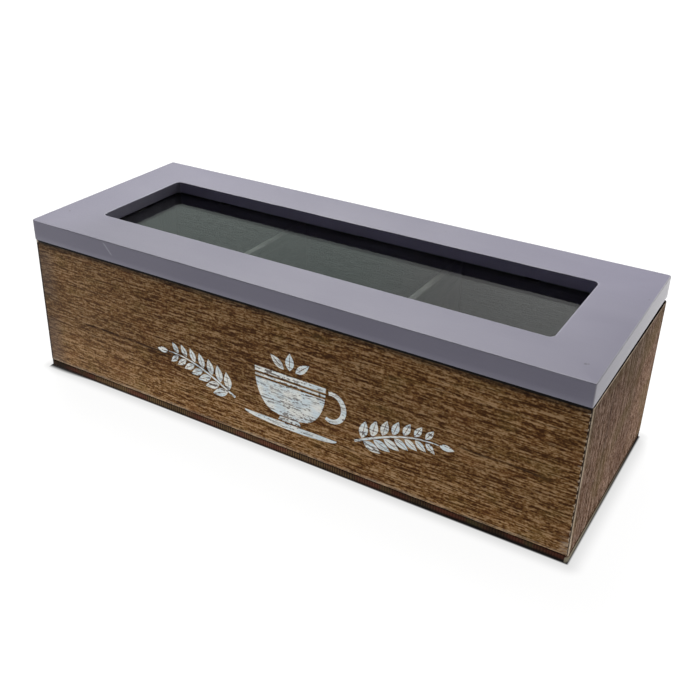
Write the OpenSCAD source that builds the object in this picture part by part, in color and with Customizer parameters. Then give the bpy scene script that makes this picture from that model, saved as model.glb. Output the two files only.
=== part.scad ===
// Long wooden storage box for tea bags: three compartments under a hinged,
// one-piece lid frame that holds a flat pane of glass.
// Units are millimetres. +X runs to the right end, +Y to the hinged back,
// +Z up. The origin is the centre of the underside.

/* [Box] */
// Outside length of the box
body_l = 240; // [220:1:280]
// Outside width of the box, front to back
body_w = 89; // [80:1:100]
// Height of the box without the lid
body_h = 61.6; // [50:0.1:80]
// Thickness of the four walls, which meet in mitred corners
wall_t = 7; // [6:0.5:9]
// Thickness of the bottom panel
bottom_t = 3; // [3:0.5:5]

/* [Dividers] */
// Thickness of each divider
divider_t = 3; // [2:0.5:4]
// Distance from the rim down to the tops of the dividers
divider_drop = 2.5; // [1:0.1:10]
// Depth of the grooves that hold the divider ends
groove_d = 1.5; // [1:0.1:2]
// Play of a divider in its groove, on each side
groove_play = 0.05; // [0.02:0.01:0.2]

/* [Lid] */
// How far the lid stands over the front and over the back
lid_over = 1; // [0.4:0.1:2]
// How far the lid stands over each end; below zero it is set back
lid_end_over = -0.25; // [-1:0.05:2]
// Thickness of the lid board
lid_t = 8.7; // [7:0.1:12]
// Width of the lid border along the front and the back
border = 20.8; // [19:0.1:26]
// Width of the lid border at each end
end_border = 20.9; // [19:0.1:30]
// Corner radius of the window
window_r = 2.2; // [1:0.1:8]
// Corner radius of the lid's outline
lid_r = 1.2; // [0.5:0.1:3]
// Smallest gap between the closed lid and the front rim
rim_gap = 0.03; // [0.02:0.01:0.3]

/* [Glass] */
// Thickness of the glass
glass_t = 2; // [2:0.5:3]
// Thickness of the lip that the lid has over the edge of the glass
lip_t = 5; // [3:0.1:5]
// Play between the lip and the glass, which lies on its glazing points
glass_gap = 0.45; // [0.05:0.05:0.6]
// Width of the lip
ledge = 4; // [3.5:0.1:5]
// Play between the glass and the pocket wall
glass_play = 0.9; // [0.9:0.1:1.2]

/* [Hinges] */
// Distance of each hinge from the middle of the box
hinge_x = 80; // [60:1:95]
// Length of a hinge
hinge_len = 20; // [18:1:24]
// Thickness of a hinge leaf
leaf_t = 0.55; // [0.5:0.05:0.8]
// Gap between the two leaves of a closed hinge
leaf_gap = 0.14; // [0.13:0.01:0.3]
// Radius of the hinge pin
pin_r = 0.7; // [0.6:0.05:0.9]
// Play of the pin in the knuckles, on the radius
pin_play = 0.05; // [0.02:0.01:0.08]
// Width of a hinge leaf, from the pin's axis to its inner edge
leaf_w = 7.5; // [7:0.1:7.5]
// Length of a hinge screw
screw_len = 7; // [5:0.5:7]

/* [Hidden] */
$fn = 48;

eps = 0.01;
wall_h = body_h - bottom_t;                  // height of the walls, which stand on the bottom panel
inner_l = body_l - 2 * wall_t;
inner_w = body_w - 2 * wall_t;
cell_l = (inner_l - 2 * divider_t) / 3;      // three equal compartments
divider_x = cell_l / 2 + divider_t / 2;
divider_h = wall_h - divider_drop;

// brads through the bottom panel into the walls
brad_r = 0.6;
brad_head_r = 1.1;
brad_head_h = 0.6;
brad_len = 12;
brad_sink = 0.1;                             // the heads lie a little below the surface
brad_play = 0.02;
brad_y = body_w / 2 - wall_t / 2;
brad_end_x = body_l / 2 - wall_t / 2;
brad_spots = concat(
    [for (s = [-1, 1], k = [-1.5, -0.43, 0.43, 1.5]) [k * body_l / 3.45, s * brad_y]],
    [for (s = [-1, 1], t = [-1, 1]) [s * brad_end_x, t * body_w / 4.5]]);

// lid
lid_l = body_l + 2 * lid_end_over;
lid_w = body_w + 2 * lid_over;
window_l = lid_l - 2 * end_border;
window_w = lid_w - 2 * border;
pocket_l = window_l + 2 * ledge;
pocket_w = window_w + 2 * ledge;
pocket_r = 3;
pocket_d = lid_t - lip_t;                    // depth of the pocket, from the underside
pane_up = pocket_d - glass_gap - glass_t;    // underside of the glass, above the underside of the lid
pane_l = pocket_l - 2 * glass_play;
pane_w = pocket_w - 2 * glass_play;

// hinges: both leaves lie in the gap between the rim and the lid, and the
// knuckles stand behind the lid's back edge
knuckle_r = pin_r + pin_play + leaf_t;
hinge_y = lid_w / 2 + knuckle_r + 0.2;
hinge_z = body_h + leaf_t + leaf_gap / 2;
knuckle_w = 0.44 * hinge_len;                // length of the middle knuckle
knuckle_gap = 0.2;
screw_r = 0.6;
screw_play = 0.02;
screw_x = 0.33 * hinge_len;
screw_y = body_w / 2 - 3;

// The lid rests on the front rim and on the two closed hinges, so it slopes
// down to the front by this angle.
lid_z0 = hinge_z + leaf_gap / 2 + leaf_t;    // underside of the lid, before the slope
lid_slope = asin((lid_z0 - body_h - rim_gap) / (hinge_y + body_w / 2));

// glazing points pressed into slots in the pocket wall
point_w = 6;
point_t = 0.4;
point_in = 2.5 + glass_play;                 // length over the glass, from the pocket wall
point_out = 4;                               // length in the wall
point_spots = concat(
    [for (s = [0, 180], k = [-1, 0, 1]) [k * window_l / 2.7 * (s == 0 ? 1 : -1), pocket_w / 2, s]],
    [for (s = [90, 270]) [0, pocket_l / 2, s]]);

// flat outline with round corners, centred
module round_rect(l, w, r) {
    square([l - 2 * r, w], center = true);
    square([l, w - 2 * r], center = true);
    for (sx = [-1, 1], sy = [-1, 1])
        translate([sx * (l / 2 - r), sy * (w / 2 - r)]) circle(r = r);
}

module round_plate(l, w, h, r) {
    linear_extrude(height = h) round_rect(l, w, r);
}

// everything that belongs to the lid, at the closed lid's slope
module on_lid() {
    translate([0, hinge_y, hinge_z]) rotate([lid_slope, 0, 0]) translate([0, -hinge_y, -hinge_z])
        children();
}

module brad(play = 0) {
    translate([0, 0, brad_sink]) cylinder(r = brad_head_r + play, h = brad_head_h + play);
    translate([0, 0, brad_sink + brad_head_h / 2]) cylinder(r = brad_r + play, h = brad_len - brad_head_h / 2 + play);
}

// holes that the brads leave in the boards
module brad_holes() {
    for (p = brad_spots) translate([p[0], p[1], 0]) {
        brad(brad_play);
        translate([0, 0, -1]) cylinder(r = brad_head_r + brad_play, h = 1 + brad_sink + brad_head_h / 2);
    }
}

module bottom_panel() {
    color("#3c2a1e")
    difference() {
        translate([-body_l / 2, -body_w / 2, 0]) cube([body_l, body_w, bottom_t]);
        brad_holes();
    }
}

// A wall board with mitred ends, seen from above: its outer face lies along
// -Y at the given distance from the middle of the box.
module mitred_board(l, out) {
    translate([0, 0, bottom_t]) linear_extrude(height = wall_h)
        polygon([[-l / 2, -out], [l / 2, -out], [l / 2 - wall_t, wall_t - out], [wall_t - l / 2, wall_t - out]]);
}

module side_board() { mitred_board(body_l, body_w / 2); }

// upright grooves in the inner face, open at the rim
module grooves() {
    w = divider_t + 2 * groove_play;
    for (s = [-1, 1])
        translate([s * divider_x - w / 2, -inner_w / 2 - groove_d, bottom_t - 1])
            cube([w, groove_d + 1, wall_h + 2]);
}

module front_panel() {
    color("#66482c")
    difference() {
        side_board();
        grooves();
        brad_holes();
    }
}

module back_panel() {
    color("#66482c")
    difference() {
        mirror([0, 1, 0]) side_board();
        mirror([0, 1, 0]) grooves();
        brad_holes();
        for (s = [-1, 1], k = [-1, 1])
            translate([s * hinge_x + k * screw_x, screw_y, body_h - screw_len + leaf_t - 0.2])
                cylinder(r = screw_r + screw_play, h = screw_len);
    }
}

module end_board() {
    difference() {
        rotate([0, 0, 90]) mitred_board(body_w, body_l / 2);
        brad_holes();
    }
}

module left_end_panel() { color("#6b5644") mirror([1, 0, 0]) end_board(); }
module right_end_panel() { color("#6b5644") end_board(); }

module divider() {
    w = inner_w + 2 * (groove_d - groove_play);
    translate([-divider_t / 2, -w / 2, bottom_t]) cube([divider_t, w, divider_h]);
}

module left_divider() { color("#5a4028") translate([-divider_x, 0, 0]) divider(); }
module right_divider() { color("#5a4028") translate([divider_x, 0, 0]) divider(); }

module bottom_brads() {
    color("#8a8a88")
    for (p = brad_spots) translate([p[0], p[1], 0]) brad();
}

// One leaf, with its knuckles, in the hinge's own frame: the pin runs along X
// through the origin and the leaf lies below it towards -Y.
module leaf(middle) {
    outer = (hinge_len - knuckle_w) / 2 - knuckle_gap;
    spans = middle ? [[-knuckle_w / 2, knuckle_w]]
                   : [[-hinge_len / 2, outer], [hinge_len / 2 - outer, outer]];
    difference() {
        union() {
            translate([-hinge_len / 2, -leaf_w, -leaf_gap / 2 - leaf_t])
                cube([hinge_len, leaf_w - knuckle_r - 0.15, leaf_t]);
            for (s = spans) {
                translate([s[0], -knuckle_r - 0.5, -leaf_gap / 2 - leaf_t])
                    cube([s[1], knuckle_r + 0.5, leaf_t]);
                translate([s[0], 0, 0]) rotate([0, 90, 0]) cylinder(r = knuckle_r, h = s[1]);
            }
        }
        translate([-hinge_len, 0, 0]) rotate([0, 90, 0]) cylinder(r = pin_r + pin_play, h = 2 * hinge_len);
        for (k = [-1, 1])
            translate([k * screw_x, screw_y - hinge_y, 0]) {
                translate([0, 0, -leaf_gap / 2 - leaf_t - 1]) cylinder(r = screw_r + screw_play, h = 2);
                translate([0, 0, -leaf_gap / 2 - leaf_t + screw_play])
                    cylinder(r1 = screw_r + 2 * screw_play, r2 = screw_r + 2 * screw_play + leaf_t, h = leaf_t);
            }
    }
}

// the same leaf turned over for the lid
module lid_leaf() { mirror([0, 0, 1]) leaf(true); }

module at_hinge(s) { translate([s * hinge_x, hinge_y, hinge_z]) children(); }

module left_hinge_body_leaf() { color("#b8934a") at_hinge(-1) leaf(false); }
module right_hinge_body_leaf() { color("#b8934a") at_hinge(1) leaf(false); }
module left_hinge_lid_leaf() { color("#b8934a") on_lid() at_hinge(-1) lid_leaf(); }
module right_hinge_lid_leaf() { color("#b8934a") on_lid() at_hinge(1) lid_leaf(); }

// pin with a flat rivet head at each end
module pin() {
    rotate([0, 90, 0]) {
        translate([0, 0, -hinge_len / 2 - 0.25]) cylinder(r = pin_r, h = hinge_len + 0.5);
        for (s = [0, 1]) mirror([0, 0, s])
            translate([0, 0, hinge_len / 2 + 0.05]) cylinder(r1 = pin_r + 0.35, r2 = pin_r + 0.1, h = 0.4);
    }
}

module left_hinge_pin() { color("#a08048") at_hinge(-1) pin(); }
module right_hinge_pin() { color("#a08048") at_hinge(1) pin(); }

// countersunk screw with a cross recess, head up at z = 0
module screw() {
    difference() {
        translate([0, 0, -leaf_t + screw_play]) cylinder(r1 = screw_r, r2 = screw_r + leaf_t - 2 * screw_play, h = leaf_t - 2 * screw_play);
        for (a = [0, 90]) rotate([0, 0, a]) translate([-0.65, -0.14, -0.3]) cube([1.3, 0.28, 1]);
    }
    translate([0, 0, -screw_len + 1]) cylinder(r = screw_r, h = screw_len - 1 - leaf_t / 2);
    translate([0, 0, -screw_len]) cylinder(r1 = 0.15, r2 = screw_r, h = 1 + eps / 10);
}

module hinge_body_screws() {
    color("#b8934a")
    for (s = [-1, 1], k = [-1, 1])
        translate([s * hinge_x + k * screw_x, screw_y, body_h + leaf_t]) screw();
}

module hinge_lid_screws() {
    color("#b8934a")
    on_lid()
    for (s = [-1, 1], k = [-1, 1])
        translate([s * hinge_x + k * screw_x, screw_y, lid_z0 - leaf_t]) mirror([0, 0, 1]) screw();
}

module point_shape(play = 0) {
    translate([-point_w / 2 - play, -point_in, -point_t / 2 - play])
        cube([point_w + 2 * play, point_in + point_out + play, point_t + 2 * play]);
}

module at_points() {
    for (p = point_spots)
        translate([0, 0, lid_z0 + pane_up - point_t / 2]) rotate([0, 0, p[2]])
            translate([p[0], p[1], 0]) children();
}

// one board, with the window cut through and a wider pocket for the glass
// routed in the underside
module lid_frame() {
    color("#a8a4b6")
    on_lid()
    difference() {
        translate([0, 0, lid_z0]) round_plate(lid_l, lid_w, lid_t, lid_r);
        translate([0, 0, lid_z0 - 1]) round_plate(window_l, window_w, lid_t + 2, window_r);
        translate([0, 0, lid_z0 - 1]) round_plate(pocket_l, pocket_w, pocket_d + 1, pocket_r);
        at_points() point_shape(0.05);
        for (s = [-1, 1], k = [-1, 1])
            translate([s * hinge_x + k * screw_x, screw_y, lid_z0 - leaf_t - 1])
                cylinder(r = screw_r + screw_play, h = screw_len + 1.2);
    }
}

module glass_pane() {
    color([0.75, 0.82, 0.8, 0.35])
    on_lid()
    translate([-pane_l / 2, -pane_w / 2, lid_z0 + pane_up]) cube([pane_l, pane_w, glass_t]);
}

module glazing_points() {
    color("#8a8a88")
    on_lid() at_points() point_shape();
}

bottom_panel();
front_panel();
back_panel();
left_end_panel();
right_end_panel();
left_divider();
right_divider();
bottom_brads();
left_hinge_body_leaf();
right_hinge_body_leaf();
left_hinge_pin();
right_hinge_pin();
hinge_body_screws();
lid_frame();
glass_pane();
glazing_points();
left_hinge_lid_leaf();
right_hinge_lid_leaf();
hinge_lid_screws();
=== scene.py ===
import math
import random

import bmesh
import bpy
import numpy as np
from mathutils import Matrix, Vector, noise


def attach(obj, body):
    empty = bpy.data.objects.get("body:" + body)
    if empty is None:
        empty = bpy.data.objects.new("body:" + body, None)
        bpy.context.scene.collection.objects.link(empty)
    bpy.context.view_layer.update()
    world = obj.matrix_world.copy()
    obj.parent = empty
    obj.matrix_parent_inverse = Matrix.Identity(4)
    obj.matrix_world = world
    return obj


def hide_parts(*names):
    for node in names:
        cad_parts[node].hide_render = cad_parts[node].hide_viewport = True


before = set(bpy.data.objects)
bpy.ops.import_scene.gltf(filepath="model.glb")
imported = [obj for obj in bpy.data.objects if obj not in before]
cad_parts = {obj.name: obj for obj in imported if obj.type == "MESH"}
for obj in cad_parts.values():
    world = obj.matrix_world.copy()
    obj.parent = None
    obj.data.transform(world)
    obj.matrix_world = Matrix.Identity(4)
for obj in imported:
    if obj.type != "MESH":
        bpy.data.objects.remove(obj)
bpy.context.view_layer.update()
scene = bpy.context.scene

# ---------------------------------------------------------------- camera
cam_data = bpy.data.cameras.new("camera")
cam_data.sensor_width = 36.0
cam_data.lens = 47.6907
cam_data.shift_x = 0.03723
cam_data.shift_y = -0.04131
cam_data.clip_start = 0.01
cam_data.clip_end = 60.0
cam = bpy.data.objects.new("camera", cam_data)
scene.collection.objects.link(cam)
cam.matrix_world = Matrix((
    (0.849621, -0.255335, 0.461462, 0.17320),
    (0.527110, 0.382445, -0.758875, -0.29077),
    (0.017284, 0.887998, 0.459523, 0.21250),
    (0.0, 0.0, 0.0, 1.0)))
scene.camera = cam

# ---------------------------------------------------------------- node helper


class Net:
    """Short calls for building one material's nodes."""

    def __init__(self, name, tree=None):
        if tree is None:
            self.mat = bpy.data.materials.new(name)
            self.mat.use_nodes = True
            tree = self.mat.node_tree
        self.nt = tree
        self.nt.nodes.clear()

    def node(self, kind, **props):
        n = self.nt.nodes.new(kind)
        for k, v in props.items():
            setattr(n, k, v)
        return n

    def put(self, socket, value):
        if isinstance(value, bpy.types.NodeSocket):
            self.nt.links.new(value, socket)
        elif isinstance(value, (tuple, list)) and len(value) == 3 and socket.type == "RGBA":
            socket.default_value = (*value, 1.0)
        else:
            socket.default_value = value

    def math(self, op, a, b=None, c=None, clamp=False):
        n = self.node("ShaderNodeMath", operation=op, use_clamp=clamp)
        self.put(n.inputs[0], a)
        if b is not None:
            self.put(n.inputs[1], b)
        if c is not None:
            self.put(n.inputs[2], c)
        return n.outputs[0]

    def add(self, a, b): return self.math("ADD", a, b)
    def sub(self, a, b): return self.math("SUBTRACT", a, b)
    def mul(self, a, b): return self.math("MULTIPLY", a, b)
    def mad(self, a, b, c): return self.math("MULTIPLY_ADD", a, b, c)
    def lo(self, a, b): return self.math("MINIMUM", a, b)
    def hi(self, a, b): return self.math("MAXIMUM", a, b)

    def ramp(self, v, lo, hi, a=0.0, b=1.0, smooth=True):
        n = self.node("ShaderNodeMapRange", interpolation_type="SMOOTHSTEP" if smooth else "LINEAR", clamp=True)
        for s, x in zip(n.inputs[:5], (v, lo, hi, a, b)):
            self.put(s, x)
        return n.outputs[0]

    def vec(self, x, y, z):
        n = self.node("ShaderNodeCombineXYZ")
        for s, v in zip(n.inputs, (x, y, z)):
            self.put(s, v)
        return n.outputs[0]

    def vmath(self, op, a, b=None):
        n = self.node("ShaderNodeVectorMath", operation=op)
        self.put(n.inputs[0], a)
        if b is not None:
            self.put(n.inputs[1], b)
        return n

    def noise(self, v, detail=2.0, rough=0.5, scale=1.0, dist=0.0):
        n = self.node("ShaderNodeTexNoise")
        self.put(n.inputs["Vector"], v)
        n.inputs["Scale"].default_value = scale
        n.inputs["Detail"].default_value = detail
        n.inputs["Roughness"].default_value = rough
        n.inputs["Distortion"].default_value = dist
        return n.outputs[0]

    def mix(self, f, a, b, blend="MIX"):
        n = self.node("ShaderNodeMix", data_type="RGBA", blend_type=blend, clamp_factor=True)
        self.put(n.inputs[0], f)
        self.put(n.inputs[6], a)
        self.put(n.inputs[7], b)
        return n.outputs[2]

    def tone(self, colour, k):
        """Colour times a factor that varies over the surface."""
        n = self.vmath("SCALE", colour)
        self.put(n.inputs[3], k)
        return n.outputs[0]

    def mm(self):
        """The place on the piece in millimetres: x, y, z."""
        tc = self.node("ShaderNodeTexCoord")
        v = self.vmath("SCALE", tc.outputs["Object"])
        v.inputs[3].default_value = 1000.0
        s = self.node("ShaderNodeSeparateXYZ")
        self.put(s.inputs[0], v.outputs[0])
        return s.outputs[0], s.outputs[1], s.outputs[2]

    def attr(self, name):
        n = self.node("ShaderNodeAttribute", attribute_name=name, attribute_type="GEOMETRY")
        return n.outputs["Fac"]

    def spot(self, v, centre, r0, r1):
        """1 inside r0 of a place, 0 outside r1."""
        n = self.vmath("DISTANCE", v)
        n.inputs[1].default_value = centre
        return self.ramp(n.outputs["Value"], r0, r1, 1.0, 0.0)

    def bump(self, height, distance, strength=1.0, normal=None):
        n = self.node("ShaderNodeBump")
        n.inputs["Strength"].default_value = strength
        n.inputs["Distance"].default_value = distance
        self.put(n.inputs["Height"], height)
        if normal is not None:
            self.put(n.inputs["Normal"], normal)
        return n.outputs[0]

    def surface(self, **ins):
        out = self.node("ShaderNodeOutputMaterial")
        b = self.node("ShaderNodeBsdfPrincipled")
        for k, v in ins.items():
            self.put(b.inputs[k.replace("_", " ")], v)
        self.nt.links.new(b.outputs[0], out.inputs[0])
        return b


# ---------------------------------------------------------------- studio
def studio():
    w = bpy.data.worlds.new("studio")
    scene.world = w
    w.use_nodes = True
    g = Net("", w.node_tree)
    tc = g.node("ShaderNodeTexCoord")
    s = g.node("ShaderNodeSeparateXYZ")
    g.put(s.inputs[0], tc.outputs["Generated"])
    x, y, z = s.outputs
    # a dim room in front, a grey wall behind, brighter overhead towards the back
    back = g.ramp(y, 0.05, 0.50)
    right = g.ramp(x, 0.1, 0.9)
    wall = g.mul(back, g.ramp(x, -0.70, -0.15, 0.365, 0.50))
    wall = g.mul(wall, g.ramp(g.math("ABSOLUTE", g.add(x, 0.42)), 0.03, 0.17, 0.88, 0.99))
    over = g.mul(g.ramp(z, 0.55, 0.90), g.ramp(y, -0.10, 0.25))
    level = g.add(g.add(wall, 0.025), g.add(g.mul(right, 0.16), g.mul(over, 0.40)))
    soft = g.node("ShaderNodeBackground")
    g.put(soft.inputs["Color"], g.mix(g.ramp(x, -0.46, -0.34), (0.93, 1.035, 1.0), (1.0, 1.0, 1.0)))
    g.put(soft.inputs["Strength"], level)
    plain = g.node("ShaderNodeBackground")
    plain.inputs["Color"].default_value = (1, 1, 1, 1)
    plain.inputs["Strength"].default_value = 1.05
    lp = g.node("ShaderNodeLightPath")
    m = g.node("ShaderNodeMixShader")
    g.put(m.inputs[0], lp.outputs["Is Camera Ray"])
    g.put(m.inputs[1], soft.outputs[0])
    g.put(m.inputs[2], plain.outputs[0])
    out = g.node("ShaderNodeOutputWorld")
    g.put(out.inputs[0], m.outputs[0])

    key = bpy.data.lights.new("softbox", "AREA")
    key.shape = "SQUARE"
    key.size = 0.9
    key.energy = KEY
    key.color = (1.0, 0.995, 0.995)
    o = bpy.data.objects.new("softbox", key)
    scene.collection.objects.link(o)
    o.location = (-0.50, 0.62, 1.15)
    o.rotation_euler = (o.location - Vector((0, 0, 0.05))).to_track_quat("Z", "Y").to_euler()
    o.visible_camera = False

    bm = bmesh.new()
    bmesh.ops.create_grid(bm, x_segments=8, y_segments=8, size=14.0)
    me = bpy.data.meshes.new("floor")
    bm.to_mesh(me)
    bm.free()
    floor = bpy.data.objects.new("floor", me)
    scene.collection.objects.link(floor)
    floor.location.z = -0.00004
    # a light table: it glows evenly on the object, and shows a faint shadow
    f = Net("light_table")
    fx, fy, fz = f.mm()
    far = f.ramp(f.math("SQRT", f.add(f.mul(fx, fx), f.mul(fy, fy))), 260.0, 620.0)
    # painted contact shadow: the narrow dark line where the box touches it, wider at the left end, which stands a hair
    # off it
    dx = f.hi(f.sub(f.math("ABSOLUTE", fx), 119.9), 0.0)
    dy = f.hi(f.sub(f.math("ABSOLUTE", fy), 44.4), 0.0)
    near = f.math("SQRT", f.add(f.mul(dx, dx), f.mul(dy, dy)))
    wide = f.add(f.ramp(fx, -92.0, -113.0, 0.40, 2.3), f.ramp(f.math("ABSOLUTE", f.add(fx, 15.0)), 30.0, 90.0, 0.0, 0.45))
    wide = f.mul(wide, f.ramp(fx, -120.4, -119.9, 0.2, 1.0))
    painted_contact_shadow = f.mul(f.ramp(near, 0.0, wide, 0.02, 1.0), f.ramp(near, 0.3, 7.0, 0.77, 1.0))
    glow = f.node("ShaderNodeEmission")
    f.put(glow.inputs["Strength"], f.mul(painted_contact_shadow, f.add(0.965, f.mul(far, 0.12))))
    paper = f.node("ShaderNodeBsdfDiffuse")
    f.put(paper.inputs["Color"], f.tone(f.vec(0.10, 0.10, 0.098), f.mul(painted_contact_shadow, f.ramp(f.noise(f.vec(fx, fy, fz), scale=0.02), 0.3, 0.7, 0.97, 1.0))))
    seen = f.node("ShaderNodeAddShader")
    f.put(seen.inputs[0], glow.outputs[0])
    f.put(seen.inputs[1], paper.outputs[0])
    lit = f.node("ShaderNodeEmission")
    side = f.mul(f.ramp(fx, 118.0, 200.0), f.ramp(fy, -170.0, -10.0))
    f.put(lit.inputs["Strength"], f.add(f.ramp(fx, -260.0, 200.0, FLOOR * 1.22, FLOOR * 0.74, smooth=False), f.mul(side, 1.15)))
    lp = f.node("ShaderNodeLightPath")
    m = f.node("ShaderNodeMixShader")
    f.put(m.inputs[0], lp.outputs["Is Camera Ray"])
    f.put(m.inputs[1], lit.outputs[0])
    f.put(m.inputs[2], seen.outputs[0])
    out = f.node("ShaderNodeOutputMaterial")
    f.put(out.inputs[0], m.outputs[0])
    me.materials.append(f.mat)
    scene.view_settings.view_transform = "Standard"
    scene.view_settings.look = "None"
    scene.view_settings.exposure = 0.0
    scene.view_settings.gamma = 1.0


KEY, FLOOR = 32.0, 1.30
studio()

# ---------------------------------------------------------------- wood


# the figure of the wood, from long soft bands down to short dashes and specks:
# how fast each changes along the grain and across it, per mm, and how much it counts
FIGURE = ((0.008, 0.10, 0.15), (0.020, 0.30, 0.42), (0.040, 0.70, 0.80), (0.060, 1.35, 1.60),
          (0.19, 0.55, 0.32), (0.24, 1.35, 1.75), (0.60, 1.10, 1.30), (1.15, 1.60, 1.20))


def wood_layers(g, axes, warp=1.0):
    """Grain of stained wood. axes are the sockets along the grain, across it and into it, in mm."""
    a, c, d = axes
    wave = g.noise(g.vec(g.mul(a, 0.009), g.mul(c, 0.030), g.mul(d, 0.030)), detail=2.0)
    c2 = g.add(c, g.mul(g.sub(wave, 0.5), 3.0 * warp))
    ripple = g.noise(g.vec(g.mul(a, 0.045), g.mul(c, 0.10), g.mul(d, 0.10)), detail=2.0)
    c2 = g.add(c2, g.mul(g.sub(ripple, 0.5), 0.7 * warp))
    figure = None
    for i, (fa, fc, k) in enumerate(FIGURE):
        n = g.noise(g.vec(g.mad(a, fa, 13.7 * i), g.mad(c2, fc, 5.3 * i), g.mul(d, fc)), detail=1.0, rough=0.4)
        figure = g.mad(n, k, -0.5 * k) if figure is None else g.add(figure, g.mad(n, k, -0.5 * k))
    pore = g.noise(g.vec(g.mul(a, 0.16), g.mul(c2, 3.4), g.mul(d, 3.4)), detail=1.0)
    broad = g.noise(g.vec(g.mul(a, 0.014), g.mul(c, 0.045), g.mul(d, 0.045)), detail=3.0)
    return dict(figure=g.ramp(figure, -FIGURE_SPAN, FIGURE_SPAN, smooth=False), pore=g.ramp(pore, 0.58, 0.68),
                broad=g.ramp(broad, 0.30, 0.70))


FIGURE_SPAN = 0.46


def between(a, b):
    """The colour half way between two, as the eye sees it."""
    return tuple(((u ** (1 / 2.2) + v ** (1 / 2.2)) / 2) ** 2.2 for u, v in zip(a, b))


def wood_colour(g, w, dark, mid, light, pores=0.75):
    n = g.node("ShaderNodeValToRGB")
    stops = n.color_ramp.elements
    stops[0].position, stops[0].color = 0.0, (*dark, 1.0)
    stops[1].position, stops[1].color = 1.0, (*light, 1.0)
    for p, c in ((0.25, between(dark, mid)), (0.5, mid), (0.75, between(mid, light))):
        s = stops.new(p)
        s.color = (*c, 1.0)
    g.put(n.inputs[0], w["figure"])
    return g.mix(g.mul(w["pore"], pores), n.outputs[0], tuple(0.5 * v for v in dark))


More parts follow.
